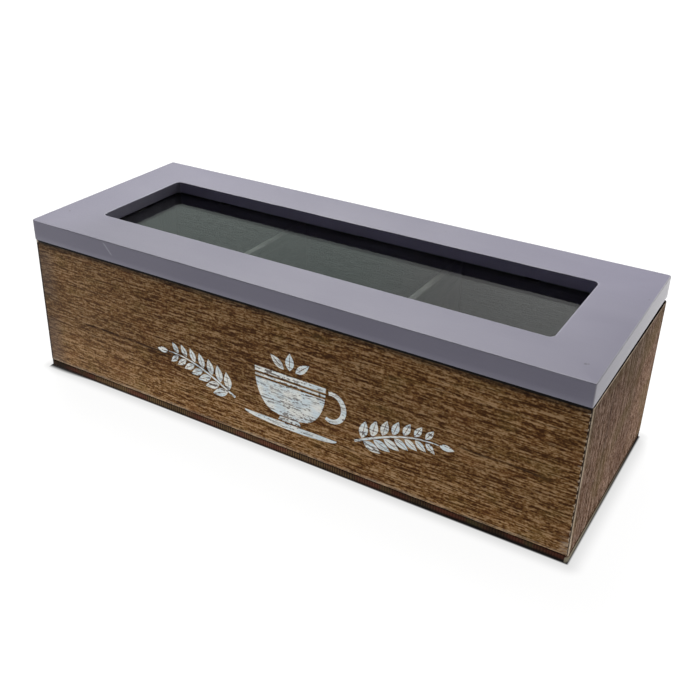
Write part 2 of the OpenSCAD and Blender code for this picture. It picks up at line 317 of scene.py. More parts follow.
def board_material(name, grain, dark, mid, light, kind, gloss=0.07):
    g = Net(name)
    x, y, z = g.mm()
    axes = {"x": (x, z, y), "z": (z, y, x), "zx": (z, x, y), "y": (y, z, x)}[grain]
    w = wood_layers(g, axes)
    col = wood_colour(g, w, dark, mid, light)
    tone = g.ramp(w["broad"], 0.0, 1.0, 0.93, 1.07)
    raw = g.attr("raw")
    dirt_and_shade = g.attr("dirt_and_shade")
    if kind == "front":
        # painted light and shade: paler towards the foot and the left, and a painted shadow dark under the rim, below
        # the lid's overhang
        low = g.ramp(z, 36.0, 5.0)
        tone = g.mul(tone, g.mad(low, 0.30, 1.0))
        tone = g.mul(tone, g.ramp(z, 59.0, 52.0, 0.84, 1.0))
        tone = g.mul(tone, g.ramp(z, 59.6, 57.9, 0.42, 1.0))
        tone = g.mul(tone, g.ramp(z, 60.45, 59.95, 0.01, 1.0))
        left = g.ramp(x, -40.0, -112.0)
        col = g.mix(g.mul(left, 0.20), col, (0.20, 0.125, 0.068))
        patch = g.noise(g.vec(g.mul(x, 0.07), 0.0, g.mul(z, 0.13)), detail=1.0)
        col = g.mix(g.mul(g.ramp(patch, 0.56, 0.72), 0.16), col, (0.19, 0.070, 0.022))
        col = g.mix(g.mul(g.ramp(patch, 0.44, 0.28), 0.16), col, (0.14, 0.105, 0.024))
        # two long dark veins at mid height
        wob = g.mad(g.noise(g.vec(g.mul(x, 0.05), 3.3, 0.0), detail=2.0), 2.0, -1.0)
        gaps = g.ramp(g.noise(g.vec(g.mul(x, 0.10), 9.1, 0.0), detail=2.0), 0.36, 0.50)
        for zc, xa, xb, width, deep in ((27.5, -99.0, -40.0, 0.55, 0.85), (25.9, -64.0, -18.0, 0.35, 0.6), (30.9, 75.0, 111.0, 0.45, 0.8),
                                        (44.5, -112.0, -70.0, 0.30, 0.45), (13.8, 20.0, 96.0, 0.30, 0.5), (50.6, 62.0, 118.0, 0.28, 0.45)):
            v = g.math("ABSOLUTE", g.sub(g.sub(z, zc), wob))
            v = g.mul(g.ramp(v, width * 0.35, width * 1.3, 1.0, 0.0), g.mul(g.ramp(x, xa, xa + 6.0), g.ramp(x, xb, xb - 6.0)))
            col = g.mix(g.mul(g.mul(v, gaps), deep), col, tuple(0.35 * c for c in dark))
        # a greyer, darker strip down the left end
        grey = g.mul(g.ramp(x, -116.5, -107.0, 1.0, 0.0), g.ramp(w["broad"], 0.1, 0.7))
        col = g.mix(g.mul(grey, 0.45), col, (0.078, 0.062, 0.058))
        strip = g.ramp(g.add(x, g.mul(wob, 0.5)), -118.9, -118.3, 1.0, 0.0)
        col = g.mix(g.mul(strip, 0.75), col, (0.022, 0.018, 0.018))
    if kind == "end":
        # painted light and shade: darker towards the top under the lid, paler towards the floor
        tone = g.mul(tone, g.ramp(z, 8.0, 60.0, 1.16, 0.56, smooth=False))
        # painted sheen: lighter towards the back, more so higher up
        tone = g.mul(tone, g.mad(g.ramp(g.math("ABSOLUTE", y), 8.0, 38.0), g.mul(g.ramp(y, -1.0, 1.0), g.ramp(z, 4.0, 50.0, 0.10, 0.42)), 1.0))
        vein = g.sub(y, g.mad(g.noise(g.vec(g.mul(z, 0.05), 7.7, 0.0), detail=1.0), 2.0, -20.6))
        vein = g.mul(g.ramp(g.math("ABSOLUTE", vein), 0.5, 2.2, 1.0, 0.0),
                     g.mul(g.ramp(z, 14.0, 30.0), g.ramp(z, 56.0, 48.0)))
        col = g.mix(g.mul(vein, 0.50), col, tuple(0.6 * v for v in dark))
        olive = g.noise(g.vec(g.mul(y, 0.035), 4.0, g.mul(z, 0.045)), detail=1.0)
        col = g.mix(g.mul(g.ramp(olive, 0.48, 0.62), 0.40), col, (0.115, 0.080, 0.030))
        col = g.mix(g.mul(g.ramp(olive, 0.46, 0.34), 0.25), col, (0.085, 0.036, 0.022))
    if kind == "divider":
        # painted light: the divider is up to 1.9 times brighter towards the back
        tone = g.mul(tone, g.ramp(y, -20.0, 14.0, 1.0, 1.9))
    if kind == "back":
        # painted shade: the back board is darker than the front, and darker towards the top
        tone = g.mul(tone, g.ramp(z, 4.0, 58.0, 0.62, 0.50))
    col = g.tone(col, tone)
    # bare wood where an edge is sanded through or torn, dirt in the seams, and painted shadow on the right end board's
    # top under the lid
    fray = g.noise(g.vec(g.mul(x, 1.1), g.mul(y, 1.1), g.mul(z, 1.1)), detail=3.0, rough=0.65)
    rough_raw = g.math("MULTIPLY", raw, g.ramp(fray, 0.30, 0.60, 0.55, 1.0), clamp=True)
    col = g.mix(rough_raw, col, (0.76, 0.63, 0.48))
    col = g.mix(g.math("MULTIPLY", dirt_and_shade, 0.96, clamp=True), col, (0.009, 0.006, 0.005))
    # the inside is stained almost black, and the rim tops in the gap under the lid get the same near-black as painted
    # shade
    black_inside_and_rim_shade = g.mul(g.ramp(g.math("ABSOLUTE", y), 38.6, 38.2), g.ramp(g.math("ABSOLUTE", x), 114.2, 113.8))
    # painted shade: the tops of the boards under the lid
    black_inside_and_rim_shade = g.hi(black_inside_and_rim_shade, g.mul(g.ramp(z, 61.35, 61.5), g.mul(g.ramp(g.math("ABSOLUTE", y), 44.2, 43.9), g.ramp(g.math("ABSOLUTE", x), 119.6, 119.3))))
    inner = wood_colour(g, w, (0.004, 0.003, 0.0025), (0.010, 0.0075, 0.006), (0.018, 0.014, 0.011))
    col = g.mix(black_inside_and_rim_shade, col, inner)
    rough = g.add(g.ramp(w["figure"], 0.0, 1.0, 0.62, 0.50), g.mul(w["pore"], 0.18))
    rough = g.add(rough, g.mul(raw, 0.2))
    h = g.sub(g.mul(w["figure"], 0.75), g.mul(w["pore"], 0.5))
    h = g.add(h, g.mul(g.noise(g.vec(g.mul(x, 6.0), g.mul(y, 6.0), g.mul(z, 6.0)), detail=2.0), 0.18))
    g.surface(Base_Color=col, Roughness=rough, Specular_IOR_Level=gloss, Normal=g.bump(h, 0.00011, 0.75))
    return g.mat


DARK, MID, LIGHT = (0.048, 0.0150, 0.0016), (0.160, 0.076, 0.0215), (0.330, 0.203, 0.100)
EDARK, EMID, ELIGHT = (0.045, 0.018, 0.007), (0.163, 0.092, 0.056), (0.315, 0.210, 0.155)
M_FRONT = board_material("stain_front", "x", DARK, MID, LIGHT, "front")
M_BACK = board_material("stain_back", "x", DARK, MID, LIGHT, "back")
M_END = board_material("stain_end", "z", EDARK, EMID, ELIGHT, "end", gloss=0.006)
M_DIV = board_material("stain_divider", "y", (0.006, 0.0045, 0.0035), (0.016, 0.0125, 0.010), (0.027, 0.022, 0.018), "divider")


def bottom_material():
    g = Net("stain_bottom")
    x, y, z = g.mm()
    w = wood_layers(g, (x, y, z))
    col = wood_colour(g, w, (0.030, 0.016, 0.009), (0.075, 0.042, 0.023), (0.12, 0.075, 0.045))
    # the edges show dark end fibres with upright saw marks
    rim = g.hi(g.ramp(g.math("ABSOLUTE", y), 43.6, 44.1), g.ramp(g.math("ABSOLUTE", x), 119.1, 119.6))
    band = g.noise(g.vec(g.mul(x, 0.075), g.mul(y, 0.075), g.mul(z, 0.1)), detail=2.0)
    edge = g.mix(g.ramp(band, 0.38, 0.62), (0.012, 0.008, 0.006), (0.062, 0.017, 0.010))
    edge = g.mix(g.ramp(g.noise(g.vec(g.mul(x, 0.11), 5.0, 0.0), detail=1.0), 0.52, 0.66), edge, (0.040, 0.034, 0.014))
    saw = g.mul(g.ramp(x, 80.0, 0.0, 0.30, 1.0), g.ramp(x, -107.0, -94.0, 0.25, 1.0))
    patch = g.noise(g.vec(g.mul(x, 0.10), 21.0, g.mul(z, 0.3)), detail=2.0)
    saw = g.mul(saw, g.ramp(patch, 0.30, 0.58, 0.45, 1.0))
    brown = g.mix(g.ramp(band, 0.40, 0.60), (0.215, 0.130, 0.058), (0.190, 0.085, 0.050))
    edge = g.mix(g.mul(g.attr("tick"), saw), edge, brown)
    # painted contact shadow: the lowest 1.3 to 1.9 mm of the edges go near-black, higher and stronger towards the right
    foot = g.ramp(x, 30.0, 90.0, 0.75, 1.0)
    edge = g.mix(g.mul(g.ramp(z, g.ramp(x, 30.0, 95.0, 1.3, 1.9), 0.5), foot), edge, (0.005, 0.004, 0.0035))
    # painted contact shadow: the end edges go near-black below about 2 mm
    ends = g.ramp(g.math("ABSOLUTE", x), 119.0, 119.5)
    edge = g.mix(ends, edge, g.mix(g.ramp(z, 1.7, 2.3), (0.008, 0.008, 0.010), (0.105, 0.062, 0.040)))
    col = g.mix(rim, col, edge)
    col = g.mix(g.mul(g.attr("raw"), 0.8), col, (0.46, 0.41, 0.30))
    top_in = g.ramp(z, 2.7, 2.95)
    inner = wood_colour(g, w, (0.004, 0.003, 0.0025), (0.010, 0.0075, 0.006), (0.018, 0.014, 0.011))
    col = g.mix(top_in, col, inner)
    h = g.sub(g.mul(w["figure"], 0.6), g.mul(w["pore"], 0.5))
    g.surface(Base_Color=col, Roughness=g.ramp(w["figure"], 0.0, 1.0, 0.70, 0.52), Specular_IOR_Level=g.mul(g.sub(1.0, ends), 0.03),
              Normal=g.bump(h, 0.00010, 0.7))
    return g.mat


M_BOTTOM = bottom_material()

# ---------------------------------------------------------------- paint, glass, metal


def paint_material():
    g = Net("lid_paint")
    x, y, z = g.mm()
    p = g.vec(x, y, z)
    cloud = g.noise(g.vec(g.mul(x, 0.025), g.mul(y, 0.05), g.mul(z, 0.05)), detail=3.0)
    grit = g.noise(p, scale=2.2, detail=3.0, rough=0.6)
    peel = g.noise(p, scale=0.85, detail=2.0)
    strand = g.noise(g.vec(g.mul(x, 0.05), g.mul(y, 1.6), g.mul(z, 1.6)), detail=3.0, rough=0.6)
    col = g.mix(g.ramp(cloud, 0.3, 0.7), (0.130, 0.123, 0.169), (0.139, 0.132, 0.178))
    col = g.tone(col, g.ramp(grit, 0.3, 0.7, 0.965, 1.03))
    col = g.tone(col, g.ramp(strand, 0.3, 0.7, 0.99, 1.008))
    # painted highlight: paler paint along the arrises and on the left upright corners, carried by the edge attribute
    edge = g.attr("edge")
    col = g.mix(g.mul(edge, g.ramp(grit, 0.25, 0.7, 0.25, 0.6)), col, (0.27, 0.265, 0.305))
    # painted light and shade on the top: darker along the front and at the back middle, lighter at the back right
    front = g.mul(g.ramp(y, -8.0, -30.0), g.mul(g.ramp(x, -112.0, -84.0), g.ramp(x, -70.0, 112.0, 0.20, 0.07, smooth=False)))
    mid = g.mul(g.ramp(y, 8.0, 30.0), g.mul(g.ramp(x, -100.0, -15.0), g.ramp(x, 75.0, 10.0)))
    rear = g.mul(g.ramp(y, 0.0, 34.0), g.ramp(x, 62.0, 112.0))
    top = g.ramp(z, 69.8, 70.0)
    col = g.tone(col, g.add(g.mul(top, g.sub(g.mul(rear, 0.17), g.add(front, g.mul(mid, 0.10)))), 1.0))
    # the back wall of the window's recess is paler and more purple than the rest
    well = g.mul(g.ramp(g.math("ABSOLUTE", g.sub(y, 24.75)), 0.55, 0.35), g.mul(g.ramp(z, 71.0, 70.8), g.ramp(g.math("ABSOLUTE", x), 99.2, 98.9)))
    col = g.mix(well, col, (0.245, 0.222, 0.355))
    # painted sheen: the ends are paler and greyer, more so towards the back
    painted_end_sheen = g.mul(g.ramp(g.math("ABSOLUTE", x), 119.30, 119.55), g.ramp(g.add(grit, g.mul(y, 0.004)), 0.25, 0.75, 0.35, 0.75))
    col = g.mix(painted_end_sheen, col, g.tone(g.vec(0.235, 0.231, 0.236), g.ramp(y, -45.0, 45.0, 1.10, 1.75, smooth=False)))
    h = g.add(g.mul(peel, 0.8), g.add(g.mul(grit, 0.22), g.mul(strand, 0.15)))
    # small knocks: two dark specks on the top and others here and there
    for c, r in (((113.1, -35.7, 70.43), 0.75), ((113.9, -35.3, 70.43), 0.45), ((-113.6, -29.6, 70.5), 0.6), ((96.0, 17.0, 71.2), 0.32),
                 ((-52.0, -33.0, 70.45), 0.26), ((31.0, 37.5, 71.4), 0.35), ((118.0, 20.0, 71.2), 0.35)):
        s = g.spot(p, c, r * 0.4, r)
        col = g.mix(g.mul(s, 0.72), col, (0.045, 0.042, 0.055))
        h = g.sub(h, g.mul(s, 1.2))
    # one slanting scratch on the front edge: the distance from a line in x and z
    t = g.sub(x, g.mad(g.sub(69.3, z), 0.857, -79.2))
    scr = g.mul(g.ramp(g.math("ABSOLUTE", t), 0.15, 0.75, 1.0, 0.0), g.mul(g.mul(g.ramp(z, 64.2, 65.6), g.ramp(z, 69.8, 68.6)), g.ramp(y, -45.0, -45.3)))
    col = g.mix(g.mul(scr, 0.34), col, (0.40, 0.40, 0.44))
    h = g.sub(h, g.mul(scr, 0.8))
    g.surface(Base_Color=col, Roughness=g.ramp(grit, 0.3, 0.7, 0.50, 0.62), Specular_IOR_Level=0.40,
              Normal=g.bump(h, 0.00005, 0.55))
    return g.mat


def glass_material():
    g = Net("window_glass")
    x, y, z = g.mm()
    out = g.node("ShaderNodeOutputMaterial")
    b = g.node("ShaderNodeBsdfPrincipled")
    b.inputs["Base Color"].default_value = (0.95, 1.0, 0.975, 1)
    b.inputs["Roughness"].default_value = 0.0
    b.inputs["IOR"].default_value = 1.52
    b.inputs["Transmission Weight"].default_value = 1.0
    p = g.vec(x, y, z)
    dust = g.ramp(g.noise(p, scale=0.9, detail=3.0, rough=0.7), 0.70, 0.78, 0.0, 0.10)
    for c, r in (((-6.1, 2.3, 65.95), 0.85), ((-20.0, 6.7, 66.0), 0.6), ((41.0, -9.0, 65.8), 0.4), ((-62.0, 9.0, 66.0), 0.35), ((74.0, 4.0, 66.0), 0.3)):
        dust = g.hi(dust, g.mul(g.spot(p, c, r * 0.2, r), 0.34))
    speck = g.node("ShaderNodeBsdfDiffuse")
    g.put(speck.inputs["Color"], g.tone(g.vec(0.42, 0.42, 0.41), g.ramp(g.noise(p, scale=3.0), 0.3, 0.7, 0.8, 1.1)))
    dusty = g.node("ShaderNodeMixShader")
    g.put(dusty.inputs[0], dust)
    g.put(dusty.inputs[1], b.outputs[0])
    g.put(dusty.inputs[2], speck.outputs[0])
    clear = g.node("ShaderNodeBsdfTransparent")
    clear.inputs["Color"].default_value = (0.88, 0.92, 0.90, 1)
    lp = g.node("ShaderNodeLightPath")
    m = g.node("ShaderNodeMixShader")
    g.put(m.inputs[0], lp.outputs["Is Shadow Ray"])
    g.put(m.inputs[1], dusty.outputs[0])
    g.put(m.inputs[2], clear.outputs[0])
    g.put(out.inputs[0], m.outputs[0])
    return g.mat


def metal_material(name, base, stain, r0, r1):
    g = Net(name)
    x, y, z = g.mm()
    p = g.vec(x, y, z)
    cloud = g.noise(p, scale=0.5, detail=3.0)
    scuff = g.noise(g.vec(g.mul(x, 0.8), g.mul(y, 6.0), g.mul(z, 6.0)), detail=3.0, rough=0.65)
    col = g.mix(g.ramp(cloud, 0.35, 0.72), base, stain)
    rough = g.add(g.ramp(cloud, 0.3, 0.7, r0, r1), g.mul(g.ramp(scuff, 0.45, 0.7), 0.14))
    g.surface(Base_Color=col, Metallic=1.0, Roughness=rough,
              Normal=g.bump(scuff, 0.00002, 0.5))
    return g.mat


M_PAINT = paint_material()
M_GLASS = glass_material()
M_BRASS = metal_material("hinge_brass", (0.38, 0.255, 0.110), (0.15, 0.095, 0.042), 0.34, 0.52)
M_STEEL = metal_material("bright_steel", (0.46, 0.45, 0.435), (0.20, 0.19, 0.18), 0.30, 0.50)
M_POINTS = metal_material("glazing_steel", (0.085, 0.083, 0.080), (0.040, 0.038, 0.036), 0.50, 0.65)

# ---------------------------------------------------------------- mesh helper


def make(name, verts, faces, mat, body, replaces=(), attrs=None, sharp=32.0):
    """A piece from points in millimetres, riding on its body."""
    me = bpy.data.meshes.new(name)
    me.from_pydata([tuple(float(c) / 1000.0 for c in v) for v in verts], [], faces)
    me.update()
    for k, values in (attrs or {}).items():
        a = me.attributes.new(k, "FLOAT", "POINT")
        a.data.foreach_set("value", np.asarray(values, np.float32))
    bm = bmesh.new()
    bm.from_mesh(me)
    bmesh.ops.recalc_face_normals(bm, faces=bm.faces)
    bm.to_mesh(me)
    bm.free()
    me.materials.append(mat)
    me.shade_smooth()
    me.set_sharp_from_angle(angle=math.radians(sharp))
    o = bpy.data.objects.new(name, me)
    scene.collection.objects.link(o)
    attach(o, body)
    if replaces:
        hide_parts(*replaces)
    return o


def smooth(t):
    t = min(1.0, max(0.0, t))
    return t * t * (3 - 2 * t)


def spread(a, b, step):
    n = max(1, int(round(abs(b - a) / step)))
    return [a + (b - a) * i / n for i in range(n + 1)]


# ---------------------------------------------------------------- boards
BOTTOM, RIM, WALL = 3.0, 61.6, 7.0


def corner_path(r, full=False, seam=0.07):
    """Outer surface round an upright corner: (distance from the corner, depth). Half way, to the mitre, or all the way round."""
    pts = []
    last = 90 if full else 45
    for i in range(7 if full else 5):
        a = math.radians(last * i / (6 if full else 4))
        pts.append((r - r * math.sin(a), r - r * math.cos(a)))
    if seam:
        d, u = pts[-1]
        pts[-1] = (d + seam, u + seam * 0.4) if not full else (d + 0.02, u + seam)
    return pts


def board(name, mat, turn, half, out, ends, thick=WALL, z0=BOTTOM, z1=RIM, zstep=0.36, tstep=3.0, grooves=(),
          arris=(0.5, 0.4), relief=0.05, seed=1, chips=(), raws=(), grain_up=False, body="box", centre=0.0, edge_step=0.42):
    """One board, standing. t runs along it, u is the depth from its outer face. turn is the number of quarter turns about Z from the front."""
    ra, rb = arris
    zs = [(z0 + ra - ra * math.cos(math.radians(a)), ra - ra * math.sin(math.radians(a))) for a in (0, 22.5, 45, 67.5, 90)]
    zs += [(z, 0.0) for z in spread(z0 + ra, z1 - rb, zstep)[1:-1]]
    zs += [(z1 - rb + rb * math.sin(math.radians(a)), rb - rb * math.cos(math.radians(a))) for a in (0, 22.5, 45, 67.5, 90)]
    # stations: outer t, outer depth, inner t
    st = []
    (path_a, in_a, zone_a), (path_b, in_b, zone_b) = ends
    for i, (d, u) in enumerate(reversed(path_a)):
        st.append([-half + d, u, None])
    fine_a = spread(st[-1][0], -half + zone_a, 0.42)[1:]
    mids = spread(-half + zone_a, half - zone_b, tstep)[1:-1]
    extra = []
    for a, b in grooves:
        mids = [m for m in mids if not (a - 0.8 < m < b + 0.8)]
        extra += [a - 0.03, a + 0.03, (a + b) / 2, b - 0.03, b + 0.03]
    mids = sorted(mids + extra)
    tail = [[half - d, u, None] for d, u in path_b]
    fine_b = spread(half - zone_b, half - 3.4, 0.42)[:-1] + spread(half - 3.4, tail[0][0], edge_step)[:-1]
    st += [[t, 0.0, None] for t in fine_a + mids + fine_b] + tail
    lim_a, lim_b = -half + zone_a, half - zone_b
    ta, tb = st[0][0], st[-1][0]
    for s in st:
        t = s[0]
        if t < lim_a:
            s[2] = lim_a + (t - lim_a) / (ta - lim_a) * (in_a - lim_a)
        elif t > lim_b:
            s[2] = lim_b + (t - lim_b) / (tb - lim_b) * (in_b - lim_b)
        else:
            s[2] = t
    S, K = len(st), len(zs)
    verts, raw, dirt_and_shade = [], [], []
    rng = random.Random(seed)
    off = rng.uniform(0, 50)
    cs, sn = [(1, 0), (0, 1), (-1, 0), (0, -1)][turn]

    def place(t, u, z):
        fx, fy = t, -out + u
        return (cs * fx - sn * fy + (centre if turn in (1, 3) else 0), sn * fx + cs * fy, z)

    for t, uc, ti in st:
        edge_t = min(t - ta, tb - t)
        for k, (z, ua) in enumerate(zs):
            u = math.hypot(uc, ua) if uc and ua else uc + ua
            r = d = 0.0
            if relief and uc == 0.0 and ua == 0.0:
                q = (t * 0.045, z * 1.1) if not grain_up else (t * 1.1, z * 0.045)
                n1 = noise.noise(Vector((q[0] + off, q[1], 0.3)))
                q2 = (t * 0.16, z * 2.3) if not grain_up else (t * 2.3, z * 0.16)
                n2 = noise.noise(Vector((q2[0] + off, q2[1], 9.3)))
                u += relief * max(0.0, 0.45 + 0.7 * n1 + 0.5 * n2) * smooth(edge_t / 1.5)
            for side, zc, w, length, depth, amount in chips:
                e = (tb - t) if side > 0 else (t - ta)
                if e < length and abs(z - zc) < w:
                    f = smooth(1 - abs(z - zc) / w) * smooth(1 - e / length)
                    u += depth * f
                    r = max(r, amount * smooth(2.2 * f))
            for fn in raws:
                a, b = fn(t, z, uc, ua, ta, tb)
                r, d = max(r, a), max(d, b)
            verts.append(place(t, u, z))
            raw.append(r)
            dirt_and_shade.append(d)
    inner_r = 0.25
    for t, uc, ti in st:
        g_in = any(a < ti < b for a, b in grooves)
        for k, (z, ua) in enumerate(zs):
            u = thick - ua * inner_r / max(ra, rb) - (1.5 if g_in else 0.0)
            verts.append(place(ti, u, z))
            raw.append(0.0)
            dirt_and_shade.append(0.0)
    N = S * K
    faces = []
    for s in range(S - 1):
        for k in range(K - 1):
            a, b = s * K + k, (s + 1) * K + k
            faces.append((a, b, b + 1, a + 1))
            faces.append((N + a, N + a + 1, N + b + 1, N + b))
        a, b = s * K + K - 1, (s + 1) * K + K - 1
        faces.append((a, b, N + b, N + a))
        a, b = s * K, (s + 1) * K
        faces.append((a, N + a, N + b, b))
    for k in range(K - 1):
        a = (S - 1) * K + k
        faces.append((a, N + a, N + a + 1, a + 1))
        faces.append((k, k + 1, N + k + 1, N + k))
    return make(name, verts, faces, mat, body, replaces=(name.replace("_board", ""),),
                attrs={"raw": raw, "dirt_and_shade": dirt_and_shade}, sharp=38.0)


# flakes torn out of the front board's right edge: tall narrow ones along the seam, and short splits along the grain
rnd = random.Random(7)
tears, z = [], 5.5
while z < 60.4:
    low = 1.0 - z / 62.0
    tall = rnd.uniform(0.45, 1.05) * (1 + 0.7 * low)
    tears.append((1, z, tall, rnd.uniform(0.42, 0.58), rnd.uniform(0.08, 0.15), rnd.uniform(0.7, 1.0)))
    if rnd.random() < 0.45:
        tears.append((1, z + rnd.uniform(-0.5, 0.5) * tall, 0.33, rnd.uniform(1.2, 2.2), rnd.uniform(0.06, 0.12), rnd.uniform(0.35, 0.7)))
    z += tall * 2 + rnd.uniform(0.1, 1.1)
nicks_left = [(-1, 60.6, 1.3, 1.4, 0.5, 0.8), (-1, 41.0, 0.5, 0.7, 0.12, 0.3), (-1, 17.0, 0.6, 0.8, 0.14, 0.4)]


def front_wear(t, z, uc, ua, ta, tb):
    n = noise.noise(Vector((t * 0.12, z * 0.9, 4.0)))
    raw = dirt_and_shade = 0.0
    if ua > 0 and z < 10:
        raw = max(raw, 0.24 + 0.30 * n)
    if z < 4.3:
        raw = max(raw, 0.19 + 0.25 * n)
    e = tb - t
    if e < 4.0 and z < 15:
        streak = noise.noise(Vector((t * 0.3, z * 1.3, 6.0)))
        raw = max(raw, smooth((15 - z) / 11) * smooth((4.0 - e) / 3.4) * (0.24 + 0.65 * streak))
    if e < 0.42:
        flake = max([smooth(1.6 * (1 - abs(z - zc) / w)) for _, zc, w, ln, _, _ in tears if abs(z - zc) < w and ln < 1.2] or [0.0])
        dirt_and_shade = 0.92 * (1 - flake) * smooth((z - 6) / 8)
    if e < 0.06 or t - ta < 0.06:
        dirt_and_shade = 0.95
    return max(0.0, raw), dirt_and_shade


def end_wear_right(t, z, uc, ua, ta, tb):
    n = noise.noise(Vector((t * 0.5, z * 0.22, 14.0)))
    raw = dirt_and_shade = 0.0
    if t - ta < 0.32:
        raw = 0.52 + 0.40 * n + (0.2 if z < 12 else 0.0)
    elif t - ta < 1.3:
        raw = 0.08 + (0.38 * smooth((16 - z) / 10))
    # the top arris is rubbed bare, with a painted shadow line above it under the lid
    if 60.7 < z < 61.32:
        raw = max(raw, 0.50 + 0.30 * n - 0.25 * smooth((t + 30) / 60))
    # painted shadow: the board's top in the gap under the lid goes near-black
    if ua > 0.1 and z > 61.32:
        raw, dirt_and_shade = 0.0, 0.97
    if tb - t < 0.06 or t - ta < 0.015:
        dirt_and_shade = 0.9
    return max(0.0, raw), dirt_and_shade


def plain_wear(t, z, uc, ua, ta, tb):
    n = noise.noise(Vector((t * 0.2, z * 0.3, 24.0)))
    raw = 0.0
    if uc > 0.02 or ua > 0.05:
        raw = 0.20 + 0.5 * n
    return max(0.0, raw), (0.9 if tb - t < 0.05 or t - ta < 0.05 else 0.0)


GROOVES = [(-39.717, -36.617), (36.617, 39.717)]
mitre = lambda r: (corner_path(r), None)
L2, W2 = 120.0, 44.5
board("front_panel_board", M_FRONT, 0, L2, W2,
      [(corner_path(0.9), -113.0, 8.0), ([(0.85, 0.0), (0.7, 0.02), (0.58, 0.06), (0.5, 0.14)], 113.0, 8.0)],
      grooves=GROOVES, seed=3, chips=tears + nicks_left, raws=[front_wear], arris=(0.55, 0.4), zstep=0.31, edge_step=0.19)
board("back_panel_board", M_BACK, 2, L2, W2,
      [(corner_path(0.8), -113.0, 8.0), (corner_path(0.8), 113.0, 8.0)],
      grooves=GROOVES, seed=8, raws=[plain_wear])
board("right_end_panel_board", M_END, 1, W2, L2,
      [(corner_path(0.45, full=True), -37.5, 8.0), (corner_path(0.8), 37.5, 8.0)],
      seed=5, grain_up=True, relief=0.03, raws=[end_wear_right], arris=(0.45, 0.55))
board("left_end_panel_board", M_END, 3, W2, L2,
      [(corner_path(0.8), -37.5, 8.0), (corner_path(0.9), 37.5, 8.0)],
      seed=11, grain_up=True, relief=0.03, raws=[plain_wear], arris=(0.45, 0.5))

SQUARE = [(0.12, 0.0), (0.04, 0.04), (0.0, 0.12)]
for side, s in (("left", -1), ("right", 1)):
    board(side + "_divider_board", M_DIV, 1, 38.95, 1.5,
          [(SQUARE, -38.95, 2.0), (SQUARE, 38.95, 2.0)], thick=3.0, z1=59.1, zstep=1.2,
          tstep=2.5, arris=(0.25, 0.45), relief=0.03, seed=20 + s, centre=s * (38.1667), raws=[])

# ---------------------------------------------------------------- bottom panel


